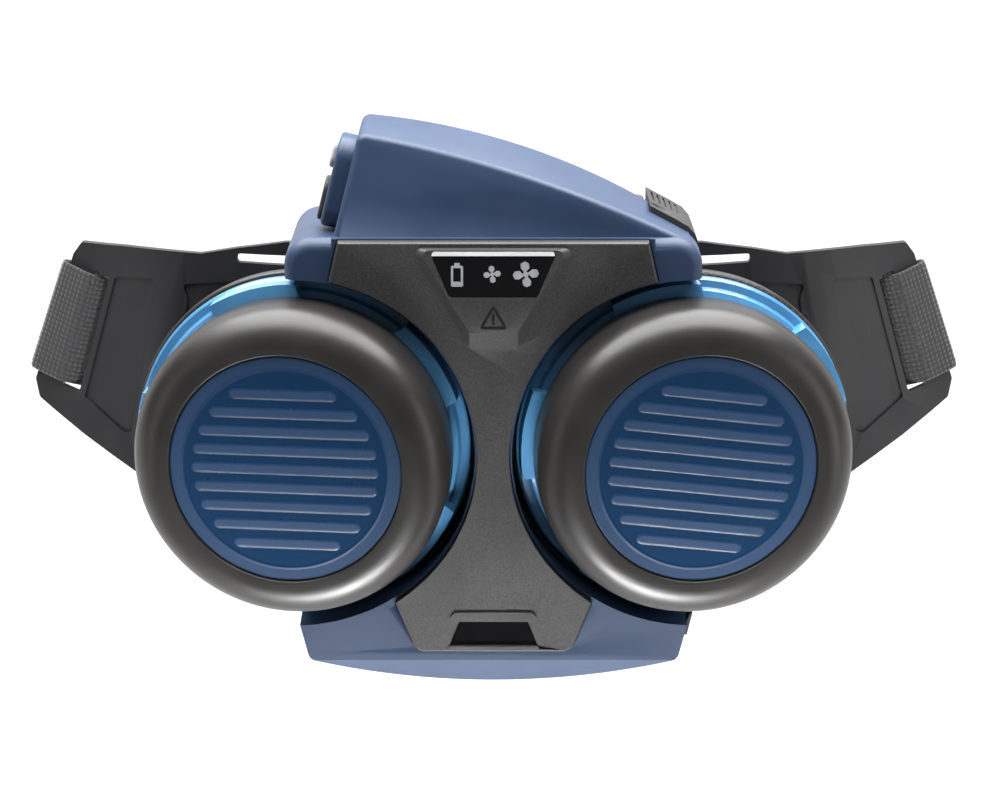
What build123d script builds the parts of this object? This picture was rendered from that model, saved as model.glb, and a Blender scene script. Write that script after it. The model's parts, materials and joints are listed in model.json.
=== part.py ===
from build123d import *
from math import asin, atan2, ceil, cos, degrees, hypot, pi, radians, sin, sqrt
import os

# A belt-worn powered air respirator blower: two screw-in filters, a fan, a battery and a belt.
# Millimetres. +X to the right as seen from the front, -Y out of the front, +Z up.
# The origin lies in the wearer's back plane, at the middle of the belt's run.

# ---------------------------------------------------------------- driving sizes
WALL = 2.6                    # housing wall
GAP = 0.3                     # clearance between loose pieces

# housing, seen from the front
HOUSING_WIDTH = 150.0
HOUSING_TOP = 72.0
FOOT_WIDTH = 136.4            # across the two lower corners
FOOT_Z = -87.0                # height of the lower corners
FOOT_SIDE_Z = -70.0           # where the sides turn in towards the foot
FOOT_SAG = 11.5               # how far the lower edge bows below its corners
SHOULDER_RADIUS = 10.0
SHOULDER_ROUND = 4.5           # rounding of the shoulders towards the front
FRONT_Y = -70.0               # plane of the housing's front face
SPLIT_Y = -48.0               # parting plane between front and rear shells
BACK_Y = -8.0                 # rear face of the housing

# hump on top of the front shell
HUMP_LEFT = -57.2             # foot of the hump's left side
HUMP_PEAK_X = -47.3
HUMP_PEAK_Z = 111.8
HUMP_RIGHT = 71.0
HUMP_FOOT_DROP = 1.6           # the sloping top ends this far under the housing's top
HUMP_MIDDLE_X = 14.0           # a point on the sloping top's rear edge
HUMP_BULGE = 8.45              # and its height over the straight line from peak to foot
HUMP_MIDDLE = (HUMP_MIDDLE_X, HUMP_PEAK_Z + HUMP_BULGE - (HUMP_PEAK_Z - HOUSING_TOP + HUMP_FOOT_DROP)
               * (HUMP_MIDDLE_X - HUMP_PEAK_X) / (HUMP_RIGHT - HUMP_PEAK_X))
HUMP_FRONT_DROP = 3.6          # the ridge lies this far under the rear edge at the peak
HUMP_MIDDLE_DROP = 6.4         # and this far under it halfway along
PEAK_ROUND = 3.4
HUMP_ROUND = 2.4               # rounding of the ridge
HUMP_BASE_Y = -66.5
HUMP_RIDGE_Y = -62.0
HUMP_REAR_Y = -36.5

# filters and their lids
LID_X = 73.2                  # lid axis at the widest plane of the lid's ring
LID_Y = -75.0
LID_Z = -8.5
YAW = radians(7.5)            # each filter faces this far outwards
PITCH = radians(2.1)          # and this far down
RING_RADIUS = 57.8
RING_TOP = 12.3               # height of the ring's crown over its widest plane
RING_SKIRT = 15.0             # depth of the ring below its widest plane
RING_WALL = 2.2
DISC_RADIUS = 42.3
DISC_THICK = 2.4
DISC_RECESS = 0.6             # the disc's face lies this far under the crown
FLANGE_RADIUS = 62.3
FLANGE_THICK = 4.0
CAN_RADIUS = 54.1             # canister that the lid slips over
CAN_WALL = 1.8
FILTER_BACK = -27.0           # rear face of the flange, from the ring's widest plane
NECK_RADIUS = 38.0            # threaded neck of the filter
NECK_LENGTH = 10.0
GRIP_COUNT = 5                 # raised grip pads round the flange
GRIP_WIDTH = 33.0
GRIP_TURN = {-1: 106.0, 1: 102.0}   # where the first pad of each filter stands, from its +X
POCKET_RADIUS = 65.2
COVER_RADIUS = 66.6           # the cover's waist follows the pockets at this radius
SEAT_RADIUS = 63.6
SEAT_THICK = 3.7
EAR_RADIUS = 60.0             # round ends of the housing behind the filters
EAR_BACK_RADIUS = 50.0
EAR_DEPTH = 24.0

# centre cover, display and name window
COVER_THICK = 3.0
COVER_SINK = 1.0
COVER_TOP = 71.5
COVER_TOP_HALF = 55.5
COVER_SIDE_Z = 57.0
COVER_SIDE_HALF = 58.8
COVER_LOW_Z = -64.0
COVER_LOW_HALF = 36.2
COVER_FOOT_Z = -83.0
COVER_FOOT_HALF = 28.6
BOSS_RISE = 2.4
DISPLAY_TOP = 68.5
DISPLAY_LOW = 52.0
DISPLAY_TOP_HALF = 22.5
DISPLAY_LOW_HALF = 15.5
BAR_HEIGHT = 1.5
SYMBOL_RISE = 0.15

# hose outlet
OUTLET_X = -28.0
OUTLET_Y = -19.5
OUTLET_RADIUS = 16.5          # the part held in the housing's tower
OUTLET_BORE = 13.8
COLLAR_RADIUS = 16.0          # the part that the hose pushes over
OUTLET_TOP = 86.0
OUTLET_LOW = 62.0

# fan
FAN_X = 0.0
FAN_Z = -42.0
FAN_RADIUS = 38.0
SCROLL_RADIUS = 46.0
SCROLL_WALL = 2.0
SCROLL_FRONT = -39.0
SCROLL_BACK = -11.0
BLADES = 24
SHAFT_RADIUS = 2.0
RUNNING = 0.03                # radial running clearance of the shaft

# battery
BAY_LEFT, BAY_RIGHT = 1.0, 71.5
BAY_FRONT, BAY_BACK = -37.0, -11.0
BAY_LOW = 8.0
BAY_WALL = 1.5
CELL_RADIUS = 9.2
CELL_LENGTH = 64.0
CATCH_LEFT = 57.0
CATCH_FRONT, CATCH_BACK = -50.0, -12.5

# belt frame and belt
FRAME_THICK = 3.3
FRAME_TOP = 57.9
WING_START = 70.0             # the wings start to curve back here
WING_BEND = 200.0
BELT_WIDTH = 45.0
BELT_THICK = 1.8
BELT_FLAT = 36.0              # half of the belt's level stretch
BELT_RISE_RADIUS = 430.0      # then it rises towards the wing ends on this radius
SLOT_IN, SLOT_OUT = 157.5, 164.5
BAR_END = 175.0
RETURN_Y = 34.0               # the closed belt's return run behind the unit
BUCKLE_HALF = 32.0


# ---------------------------------------------------------------- helpers
def block(x0, x1, y0, y1, z0, z1):
    return Pos((x0 + x1) / 2, (y0 + y1) / 2, (z0 + z1) / 2) * Box(x1 - x0, y1 - y0, z1 - z0)


def rod_y(radius, x, z, y0, y1):
    return Pos(x, (y0 + y1) / 2, z) * Rot(90, 0, 0) * Cylinder(radius, abs(y1 - y0))


def rod_z(radius, x, y, z0, z1):
    return Pos(x, y, (z0 + z1) / 2) * Cylinder(radius, z1 - z0)


def outline(points, radius=0.0):
    """A closed front-view outline of (x, z) points with rounded corners."""
    sketch = make_face(Polyline(*points, close=True))
    return fillet(sketch.vertices(), radius) if radius else sketch


def plate(sketch, y_back, y_front):
    """A front-view outline given depth, from y_back forward to y_front."""
    return extrude(Plane.XZ.offset(-y_back) * sketch, y_back - y_front)


def mirrored(points):
    """Complete a right-hand half outline with its mirror image."""
    return points + [(-x, z) for x, z in reversed(points)]


def lid_plane(side):
    """Frame of a filter: origin on the ring's widest plane, +Z out of the front."""
    normal = (side * sin(YAW) * cos(PITCH), -cos(YAW) * cos(PITCH), -sin(PITCH))
    return Plane(origin=(side * LID_X, LID_Y, LID_Z), x_dir=(cos(YAW), side * sin(YAW), 0), z_dir=normal)


def turned(profile):
    """A closed (radius, height) profile turned about Z."""
    return revolve(make_face(Polyline(*[(r, 0, h) for r, h in profile], close=True)), Axis.Z)


def ring(inner, outer, low, high):
    return turned([(inner, low), (outer, low), (outer, high), (inner, high)])


def disc(radius, low, high):
    return Pos(0, 0, (low + high) / 2) * Cylinder(radius, high - low)


def save(name, shape):
    solids = [solid for solid in shape.solids()]
    part = solids[0] if len(solids) == 1 else Compound(children=solids)
    part.label = name
    export_step(part, "parts/" + name + ".step")


# ---------------------------------------------------------------- housing
def core_outline(inset=0.0):
    half, foot = HOUSING_WIDTH / 2, FOOT_WIDTH / 2
    right = [(foot, FOOT_Z), (half - 2.5, FOOT_SIDE_Z), (half, HOUSING_TOP - 12), (half, HOUSING_TOP)]
    sides = Polyline(*mirrored(right))
    belly = ThreePointArc((-foot, FOOT_Z), (0, FOOT_Z - FOOT_SAG), (foot, FOOT_Z))
    sketch = make_face([*sides.edges(), belly])
    tops = sketch.vertices().filter_by_position(Axis.Y, HOUSING_TOP - 1, HOUSING_TOP + 1)
    sketch = fillet(tops, SHOULDER_RADIUS)
    feet = sketch.vertices().filter_by_position(Axis.Y, FOOT_Z - 1, FOOT_Z + 1)
    sketch = fillet(feet, 4.0)
    return offset(sketch, -inset) if inset else sketch


def pocket(radius, floor):
    """Cutters for both round filter pockets, open to the front."""
    return [lid_plane(side) * disc(radius, floor, 60) for side in (-1, 1)]


POCKET_FLOOR = FILTER_BACK - SEAT_THICK - GAP
EAR_SPLIT = POCKET_FLOOR - 9.0
EAR_BACK = POCKET_FLOOR - EAR_DEPTH


def ear(low, high, inset=0.0):
    """A slice of both housing ears between two heights on the filters' axes."""
    def radius(height):
        share = (POCKET_FLOOR - height) / EAR_DEPTH
        return EAR_RADIUS - share * (EAR_RADIUS - EAR_BACK_RADIUS) - inset
    cone = turned([(0, low), (radius(low), low), (radius(high), high), (0, high)])
    return [lid_plane(side) * cone for side in (-1, 1)]


def top_cavity(y_back, y_front):
    """Room inside the core, walled off from the filter pockets."""
    room = plate(core_outline(WALL), y_back, y_front)
    for cutter in pocket(POCKET_RADIUS + WALL, POCKET_FLOOR - WALL):
        room -= cutter
    return room


def hump_outline(front, inset=0.0):
    """The hump's section, at its front face or at its rear."""
    lean = (HUMP_PEAK_X - HUMP_LEFT) / (HUMP_PEAK_Z - HOUSING_TOP)
    peak_z = HUMP_PEAK_Z - front * HUMP_FRONT_DROP
    base_z = HOUSING_TOP - WALL - 0.4
    peak = (HUMP_LEFT + lean * (peak_z - HOUSING_TOP), peak_z)
    base = (HUMP_LEFT + lean * (base_z - HOUSING_TOP), base_z)
    foot = (HUMP_RIGHT, HOUSING_TOP - HUMP_FOOT_DROP)
    top = ThreePointArc(peak, (HUMP_MIDDLE[0], HUMP_MIDDLE[1] - front * HUMP_MIDDLE_DROP), foot)
    sketch = make_face([top, *Polyline(foot, (HUMP_RIGHT, base_z), base, peak).edges()])
    if inset:
        return offset(sketch, -inset, kind=Kind.INTERSECTION)
    return fillet(sketch.vertices().sort_by(Axis.Y)[-1], PEAK_ROUND)


def hump_block(y_front, y_rear, inset=0.0):
    front = Plane.XZ.offset(-y_front) * hump_outline(1, inset)
    return loft([front, Plane.XZ.offset(-y_rear) * hump_outline(0, inset)])


def hump():
    body = hump_block(HUMP_BASE_Y, HUMP_REAR_Y)
    rise = HUMP_PEAK_Z - HOUSING_TOP
    lean = HUMP_RIDGE_Y - HUMP_BASE_Y
    slope = make_face(Polyline(
        (-90, HUMP_BASE_Y, HOUSING_TOP), (-90, HUMP_BASE_Y + lean * 1.2, HOUSING_TOP + rise * 1.2),
        (-90, HUMP_BASE_Y - 9, HOUSING_TOP + rise * 1.2), (-90, HUMP_BASE_Y - 9, HOUSING_TOP), close=True))
    body -= extrude(slope, 180, dir=(1, 0, 0))
    ridge = [e for e in body.edges() if e.center().Y < HUMP_RIDGE_Y + 1.5 and e.center().Z > HOUSING_TOP + 3]
    body = fillet(ridge, HUMP_ROUND) - block(-90, 90, SPLIT_Y, 0, 50, HOUSING_TOP)
    return body - hump_block(HUMP_BASE_Y + WALL + 2.5, HUMP_REAR_Y - WALL, WALL)


def catch_outline(grow=0.0):
    """Section of the battery catch over the housing's right shoulder, seen from the front."""
    top = [(CATCH_LEFT, 80.2), (66, 75.4), (70.8, 72.6), (73.4, 69.6), (75.0, 65.4), (75.4, 60.5)]
    low = [(72.4, 60.5), (72.0, 64.2), (70.6, 67.0), (69.0, 68.9), (65, 71.0), (CATCH_LEFT, 75.1)]
    sketch = make_face(Polyline(*top, *low, close=True))
    return offset(sketch, grow) if grow else sketch


def catch_room():
    return plate(catch_outline(GAP), CATCH_BACK + 5, CATCH_FRONT - GAP)


PILLAR_RADIUS = 3.6
PILLAR_DEPTH = 10.5            # how far the front pillars reach forward of the parting plane
SCREWS = [(-55.0, 66.2), (-4.5, 66.2), (-50.0, -86.5), (50.0, -86.5), (0.0, -92.6)]
FRAME_SCREWS = [(-52.0, 42.0), (52.0, 42.0), (-52.0, -52.0), (52.0, -52.0)]
SCREW_RADIUS = 1.5
SCREW_HEAD = 3.0
TOWER_LOW = FRAME_TOP + 0.6    # the outlet's tower stands on the belt frame's top edge


def cover_outline(grow=0.0):
    right = [(COVER_FOOT_HALF, COVER_FOOT_Z), (COVER_LOW_HALF, COVER_LOW_Z), (COVER_SIDE_HALF, COVER_SIDE_Z),
             (COVER_TOP_HALF, COVER_TOP)]
    sketch = outline(mirrored(right))
    feet = sketch.vertices().filter_by_position(Axis.Y, COVER_FOOT_Z - 1, COVER_FOOT_Z + 1)
    sketch = fillet(feet, 5.0)
    return offset(sketch, grow) if grow else sketch


def cover_blank(y_back, y_front, grow=0.0):
    blank = plate(cover_outline(grow), y_back, y_front)
    for cutter in pocket(COVER_RADIUS - grow, -40):
        blank -= cutter
    return blank


def seal_line(y_back, y_front, grow=0.0):
    loop = plate(core_outline(0.7 - grow), y_back, y_front) - plate(core_outline(1.9 + grow), y_back, y_front)
    for cutter in pocket(POCKET_RADIUS + 5 - grow, -80):
        loop -= cutter
    return loop - block(CATCH_LEFT - 4 - grow, 80, -60, -20, 40, 80)


def foot_bevel(inset=0.0):
    """Wedge cut off below the front face, so that the foot slopes back."""
    y, z = FRONT_Y - 1 + inset, FOOT_Z + 1 + inset
    wedge = make_face(Polyline((-90, y, z), (-90, y - 9, z), (-90, y - 9, z - 21), (-90, y + 17, z - 21), close=True))
    return extrude(wedge, 180, dir=(1, 0, 0))


def front_core():
    """Solid front half, with well rounded shoulders beside the cover."""
    body = plate(core_outline(), SPLIT_Y, FRONT_Y)
    round_body = fillet(body.faces().sort_by(Axis.Y)[0].edges(), SHOULDER_ROUND)
    for x0, x1 in ((-90, -COVER_SIDE_HALF + 1), (COVER_SIDE_HALF - 1, 90)):
        corner = block(x0, x1, FRONT_Y - 1, FRONT_Y + SHOULDER_ROUND + 1, 30, 90)
        body = body - corner + (round_body & corner)
    return body - foot_bevel()


def front_shell():
    """The front moulding whole: core, hump and both filter wells."""
    body = front_core() + hump()
    for slice_ in ear(EAR_SPLIT, POCKET_FLOOR):
        body += slice_
    for cutter in pocket(POCKET_RADIUS, POCKET_FLOOR):
        body -= cutter
    body -= top_cavity(SPLIT_Y, FRONT_Y + WALL) - foot_bevel(WALL)
    body -= top_cavity(BACK_Y - WALL, SPLIT_Y)
    for slice_ in ear(EAR_SPLIT - 1, POCKET_FLOOR - WALL, WALL):
        body -= slice_
    for side in (-1, 1):
        body += lid_plane(side) * ring(NECK_RADIUS, NECK_RADIUS + 3, FILTER_BACK - NECK_LENGTH - 1, POCKET_FLOOR)
        body -= lid_plane(side) * disc(NECK_RADIUS + GAP, EAR_BACK, 0)
    body -= block(-44, 36, -60, SPLIT_Y - 2, HOUSING_TOP - WALL - 1, HOUSING_TOP + WALL + 1)
    for x, z in SCREWS:
        body += rod_y(PILLAR_RADIUS, x, z, SPLIT_Y - PILLAR_DEPTH, SPLIT_Y)
        body -= rod_y(SCREW_RADIUS, x, z, SPLIT_Y - PILLAR_DEPTH + 0.5, SPLIT_Y + 1)
    body -= cover_blank(FRONT_Y + COVER_SINK, FRONT_Y - 2, 0.6)
    body -= plate(outline([(-20, 50), (-20, 67), (20, 67), (20, 50)], 2), FRONT_Y + WALL + 1, FRONT_Y - 1)
    body -= seal_line(SPLIT_Y, SPLIT_Y - 0.8)
    return body - catch_room()


def well_space(side):
    return lid_plane(side) * disc(POCKET_RADIUS + WALL, EAR_SPLIT - 2, 60)


def front_housing(shell):
    return shell - well_space(-1) - well_space(1)


def filter_well(shell, side):
    """Bowl behind one filter, with its threaded socket and the front of the ear."""
    return shell & well_space(side)


def outlet_tower():
    return rod_z(OUTLET_RADIUS + WALL, OUTLET_X, OUTLET_Y, TOWER_LOW, HOUSING_TOP + 1.5)


def outlet_passage():
    """Way from the fan's duct up into the outlet, kept inside the rear wall."""
    way = rod_z(OUTLET_BORE - 1, OUTLET_X, OUTLET_Y, 50, OUTLET_LOW + 0.1)
    return way & block(-90, 90, -90, BACK_Y - WALL, 40, 70)


def rear_shell():
    """The rear moulding whole: core and both ears."""
    body = plate(core_outline(), BACK_Y, SPLIT_Y)
    for slice_ in ear(EAR_BACK, EAR_SPLIT):
        body += slice_
    body += outlet_tower()
    body -= block(-90, 90, HUMP_REAR_Y - 20, HUMP_REAR_Y, HOUSING_TOP, HOUSING_TOP + 4)
    for slice_ in ear(EAR_SPLIT, POCKET_FLOOR + 1):
        body -= slice_
    for cutter in pocket(POCKET_RADIUS, POCKET_FLOOR):
        body -= cutter
    body -= top_cavity(BACK_Y - WALL, SPLIT_Y)
    for slice_ in ear(EAR_BACK + WALL, EAR_SPLIT, WALL):
        body -= slice_
    body -= rod_z(OUTLET_RADIUS, OUTLET_X, OUTLET_Y, OUTLET_LOW, HOUSING_TOP + 5)
    body -= outlet_passage()
    body -= block(BAY_LEFT, BAY_RIGHT, BAY_FRONT, BAY_BACK + 0.4, BAY_LOW, HOUSING_TOP + 1)
    for x, z in SCREWS:
        body += rod_y(PILLAR_RADIUS, x, z, SPLIT_Y, BACK_Y)
        body -= rod_y(SCREW_RADIUS, x, z, SPLIT_Y - 1, BACK_Y)
        body -= rod_y(SCREW_HEAD + 0.4, x, z, BACK_Y - 3, BACK_Y + 1)
    for x, z in FRAME_SCREWS:
        body -= rod_y(SCREW_RADIUS, x, z, BACK_Y - WALL - 1, BACK_Y + 1)
    return body - catch_room()


def ear_space(side):
    """Room outside the core's side wall that one ear's rear shell fills."""
    inner, outer = sorted((side * (HOUSING_WIDTH / 2 - WALL), side * 140))
    return lid_plane(side) * disc(EAR_RADIUS + 0.5, EAR_BACK - 1, EAR_SPLIT + 1) & block(inner, outer, -90, 0, -90, 90)


def rear_housing(shell):
    return shell - ear_space(-1) - ear_space(1)


def ear_shell(shell, side):
    """Rear half of one ear, the chamber behind a filter."""
    return shell & ear_space(side)


def housing_screws():
    group = []
    for x, z in SCREWS:
        shank = rod_y(SCREW_RADIUS, x, z, SPLIT_Y - PILLAR_DEPTH + 0.7, BACK_Y - 2.8)
        screw = shank + rod_y(SCREW_HEAD, x, z, BACK_Y - 2.9, BACK_Y - 0.6)
        group.append(screw - Pos(x, BACK_Y - 1.2, z) * Box(1.6, 1.6, 1.6))
    return Compound(children=[s.solids()[0] for s in group])


# ---------------------------------------------------------------- cover, display, name window
COVER_FRONT = FRONT_Y - COVER_THICK
BOSS_FRONT = COVER_FRONT - BOSS_RISE
NAME_TOP, NAME_LOW = -71.2, -80.2


def display_outline(grow=0.0):
    right = [(DISPLAY_LOW_HALF, DISPLAY_LOW), (DISPLAY_TOP_HALF, DISPLAY_TOP)]
    sketch = outline(mirrored(right), 1.2)
    return offset(sketch, grow) if grow else sketch


def name_outline(grow=0.0):
    sketch = outline(mirrored([(16.0, NAME_LOW), (12.6, NAME_TOP)]))
    return offset(sketch, grow, kind=Kind.INTERSECTION) if grow else sketch


def centre_cover():
    body = plate(cover_outline(), FRONT_Y + COVER_SINK, COVER_FRONT)
    body = chamfer(body.faces().sort_by(Axis.Y)[0].edges(), 0.7)
    for cutter in pocket(COVER_RADIUS, -40):
        body -= cutter
    base = outline(mirrored([(8.6, 32.6), (29.6, 69.4)]), 2.5)
    crown = outline(mirrored([(8.4, 38.6), (26.6, 69.0)]), 2.2)
    body += loft([Plane.XZ.offset(-COVER_FRONT) * base, Plane.XZ.offset(-BOSS_FRONT) * crown])
    body -= plate(display_outline(0.25), BOSS_FRONT + 1.4, BOSS_FRONT - 1)
    hood = outline(mirrored([(17.4, -71.4), (14.4, -67.4)]), 1.4)
    body += plate(hood, COVER_FRONT, COVER_FRONT - 0.7)
    body -= plate(name_outline(0.25), COVER_FRONT + 1.6, COVER_FRONT - 1)
    lip = [(16.8, NAME_LOW - 1.7), (16.5, NAME_LOW - 0.3)]
    return body + plate(outline(mirrored(lip), 0.5), COVER_FRONT + 0.5, COVER_FRONT - 0.8)


def display_window():
    glass = plate(display_outline(), BOSS_FRONT + 1.4, BOSS_FRONT + 0.3)
    return glass - block(-30, 30, BOSS_FRONT - 1, BOSS_FRONT + 2, DISPLAY_TOP - BAR_HEIGHT - 0.1, DISPLAY_TOP + 1)


def display_bar():
    bar = plate(display_outline(), BOSS_FRONT + 1.4, BOSS_FRONT - 0.15)
    return bar & block(-30, 30, BOSS_FRONT - 1, BOSS_FRONT + 2, DISPLAY_TOP - BAR_HEIGHT, DISPLAY_TOP + 1)


def fan_symbol(x, z, size):
    """Four leaf-shaped blades round a hub."""
    blade = Polyline((0, 0), (0.1, 0.22), (0.42, 0.36), (0.5, 0.74), (0.28, 0.98), (-0.08, 0.94), (-0.2, 0.6),
                     close=True)
    leaf = scale(fillet(make_face(blade).vertices().sort_by(Axis.Y)[-5:], 0.1), size / 2)
    symbol = Circle(size * 0.11)
    for turn in range(4):
        symbol += Rot(0, 0, 90 * turn + 20) * leaf
    return Pos(x, z) * symbol


def display_symbols():
    level = BOSS_FRONT + 0.3
    cell = Pos(-12.9, 59.6) * (RectangleRounded(4.3, 7.6, 0.6) - Pos(0, 0.5) * Rectangle(2.7, 5.0))
    cell += Pos(-12.9, 63.9) * Rectangle(1.9, 1.0)
    drawing = cell + fan_symbol(-0.4, 60.3, 6.2) + fan_symbol(11.6, 60.3, 9.2)
    return plate(drawing, level, level - SYMBOL_RISE)


def warning_symbol():
    triangle = outline([(-5.2, 40.2), (5.2, 40.2), (0, 49.4)], 0.8)
    drawing = triangle - offset(triangle, -1.0)
    drawing += Pos(0, 44.6) * RectangleRounded(0.9, 2.7, 0.3) + Pos(0, 42.4) * Circle(0.5)
    return plate(drawing, BOSS_FRONT, BOSS_FRONT - SYMBOL_RISE)


def name_window():
    return plate(name_outline(), COVER_FRONT + 1.6, COVER_FRONT + 0.5)


# ---------------------------------------------------------------- button pod on the hump's left side
POD_Y = -49.0
POD_HIGH = 6.0
BUTTON_TRAVEL = 1.0
POD_UP = 20.5                 # origin of the pod's plane, measured up the slope from the hump's foot
LEAN = asin((HUMP_PEAK_X - HUMP_LEFT) / hypot(HUMP_PEAK_X - HUMP_LEFT, HUMP_PEAK_Z - HOUSING_TOP))
POD_PLANE = Plane(origin=(HUMP_LEFT + POD_UP * sin(LEAN), POD_Y, HOUSING_TOP + POD_UP * cos(LEAN)),
                  x_dir=(sin(LEAN), 0, cos(LEAN)), z_dir=(-cos(LEAN), 0, sin(LEAN)))
BUTTONS = {"upper_button": (7.0, 11.6), "lower_button": (-10.6, 15.8)}   # middle and length up the slope
POD_MIDDLE, POD_LENGTH, POD_WIDTH = -3.1, 34.0, 21.0
BUTTON_WIDTH = 13.0


def pod_block(low, high, shrink=0.0):
    shape = Pos(POD_MIDDLE) * RectangleRounded(POD_LENGTH - 2 * shrink, POD_WIDTH - 2 * shrink, 8.0 - shrink)
    return POD_PLANE * extrude(Pos(0, 0, low) * shape, high - low)


def button_blank(name, low, high, grow=0.0):
    middle, length = BUTTONS[name]
    shape = Pos(middle) * RectangleRounded(length + 2 * grow, BUTTON_WIDTH + 2 * grow, 4.5 + grow)
    return POD_PLANE * extrude(Pos(0, 0, low) * shape, high - low)


def button_pod():
    body = pod_block(0.0, POD_HIGH)
    rim = [e for e in body.edges() if (POD_PLANE.to_local_coords(e.center())).Z > POD_HIGH - 0.05]
    body = fillet(rim, 1.6)
    body -= pod_block(-0.1, 3.4, 2.0)
    for name in BUTTONS:
        body -= button_blank(name, 2.6 - BUTTON_TRAVEL - 0.3, POD_HIGH + 1, 0.25)
    return body


def button(name):
    body = button_blank(name, 2.6, POD_HIGH + 1.7)
    rim = [e for e in body.edges() if (POD_PLANE.to_local_coords(e.center())).Z > POD_HIGH + 1.6]
    return fillet(rim, 1.0)


def switch_board():
    board = pod_block(0.0, 1.2, 3.0)
    for middle, _ in BUTTONS.values():
        board += POD_PLANE * (Pos(middle, 0, 1.3) * Cylinder(2.2, 0.4))
    return board


# ---------------------------------------------------------------- electronics
BOARD_Y = -61.0


def circuit_board():
    return block(-23, 23, BOARD_Y, BOARD_Y + 1.6, 44, 68)


def indicator_leds():
    group = [block(x - 2, x + 2, FRONT_Y + WALL + 1.2, BOARD_Y, z - 2, z + 2) for x, z in
             ((-12.9, 59.6), (-0.4, 60.3), (11.6, 60.3))]
    return Compound(children=[s.solids()[0] for s in group])


def alarm_buzzer():
    return rod_y(6.0, 0, 52, BOARD_Y + 1.6, BOARD_Y + 7.6) - rod_y(1.0, 0, 52, BOARD_Y + 5, BOARD_Y + 8)


# ---------------------------------------------------------------- fan
def duct(grow=0.0):
    """Rising outlet duct of the scroll."""
    left = FAN_X - SCROLL_RADIUS
    right = OUTLET_X + OUTLET_BORE + 4
    front = SCROLL_FRONT + 3.5
    return block(left + grow, right - grow, front + grow, SCROLL_BACK - grow, FAN_Z, TOWER_LOW - GAP)


def fan_scroll():
    body = rod_y(SCROLL_RADIUS, FAN_X, FAN_Z, SCROLL_FRONT, SCROLL_BACK) + duct()
    body -= rod_y(SCROLL_RADIUS - SCROLL_WALL, FAN_X, FAN_Z, SCROLL_FRONT - 1, SCROLL_BACK - SCROLL_WALL)
    inner = duct(SCROLL_WALL)
    body -= inner + Pos(0, 0, SCROLL_WALL) * inner
    tongue = rod_y(SCROLL_RADIUS, FAN_X, FAN_Z, -60, -5)
    return body - (block(-80, 80, SCROLL_FRONT - 1, SCROLL_FRONT + 3.5, -100, 60) - tongue)


def scroll_cover():
    plate_ = rod_y(SCROLL_RADIUS - SCROLL_WALL - 0.1, FAN_X, FAN_Z, SCROLL_FRONT, SCROLL_FRONT + 1.6)
    bell = rod_y(27, FAN_X, FAN_Z, SCROLL_FRONT - 3, SCROLL_FRONT + 0.1)
    return plate_ + bell - rod_y(24, FAN_X, FAN_Z, -60, -30)


MOTOR_FRONT, MOTOR_BACK = -24.5, SCROLL_BACK - SCROLL_WALL


def motor_body():
    body = rod_y(15.0, FAN_X, FAN_Z, MOTOR_FRONT, MOTOR_BACK)
    body -= rod_y(SHAFT_RADIUS + 0.8, FAN_X, FAN_Z, -40, -5)
    for y0, y1 in BEARINGS:
        body -= rod_y(4.0, FAN_X, FAN_Z, y0, y1)
    for angle in range(0, 360, 30):
        body -= Pos(FAN_X, 0, FAN_Z) * Rot(0, angle, 0) * block(8, 11.5, MOTOR_FRONT - 1, MOTOR_FRONT + 4, -1, 1)
    return body


BEARINGS = [(MOTOR_FRONT, MOTOR_FRONT + 3), (MOTOR_BACK - 3, MOTOR_BACK)]


def motor_bearings():
    bore = rod_y(SHAFT_RADIUS + RUNNING, FAN_X, FAN_Z, -40, -5)
    return Compound(children=[(rod_y(4.0, FAN_X, FAN_Z, y0, y1) - bore).solids()[0] for y0, y1 in BEARINGS])


def motor_shaft():
    return rod_y(SHAFT_RADIUS, FAN_X, FAN_Z, -36.5, MOTOR_BACK - 0.2)


def motor_screws():
    group = []
    for angle in (45, 135, 225, 315):
        x, z = FAN_X + 12 * cos(radians(angle)), FAN_Z + 12 * sin(radians(angle))
        group.append(rod_y(1.2, x, z, MOTOR_BACK - 4, SCROLL_BACK).solids()[0])
    return Compound(children=group)


def screw_holes(radius=1.2):
    return [rod_y(radius, FAN_X + 12 * cos(radians(a)), FAN_Z + 12 * sin(radians(a)), MOTOR_BACK - 4, SCROLL_BACK + 1)
            for a in (45, 135, 225, 315)]


def impeller():
    hub_back, hub_front = MOTOR_FRONT - 0.8, -36.0
    body = rod_y(FAN_RADIUS, FAN_X, FAN_Z, hub_back - 1.4, hub_back)
    body += rod_y(7, FAN_X, FAN_Z, hub_front, hub_back)
    rim = rod_y(FAN_RADIUS, FAN_X, FAN_Z, hub_front, hub_front + 1.2)
    body += rim - rod_y(FAN_RADIUS - 5, FAN_X, FAN_Z, hub_front - 1, hub_front + 2)
    blade = make_face(Polyline((FAN_RADIUS - 9.5, 0.6), (FAN_RADIUS - 5, 2.8), (FAN_RADIUS - 1.2, 6.6),
                               (FAN_RADIUS - 2.4, 7.4), (FAN_RADIUS - 6, 3.9), (FAN_RADIUS - 10, 1.9), close=True))
    for index in range(BLADES):
        body += Pos(FAN_X, 0, FAN_Z) * Rot(0, 360 / BLADES * index, 0) * plate(blade, hub_back - 1, hub_front + 0.5)
    return body - rod_y(SHAFT_RADIUS, FAN_X, FAN_Z, -60, 0)


# ---------------------------------------------------------------- hose outlet
SEAL_LOW, SEAL_TOP = 79.0, 81.4
SEAL_INNER = COLLAR_RADIUS - 1.0


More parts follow.
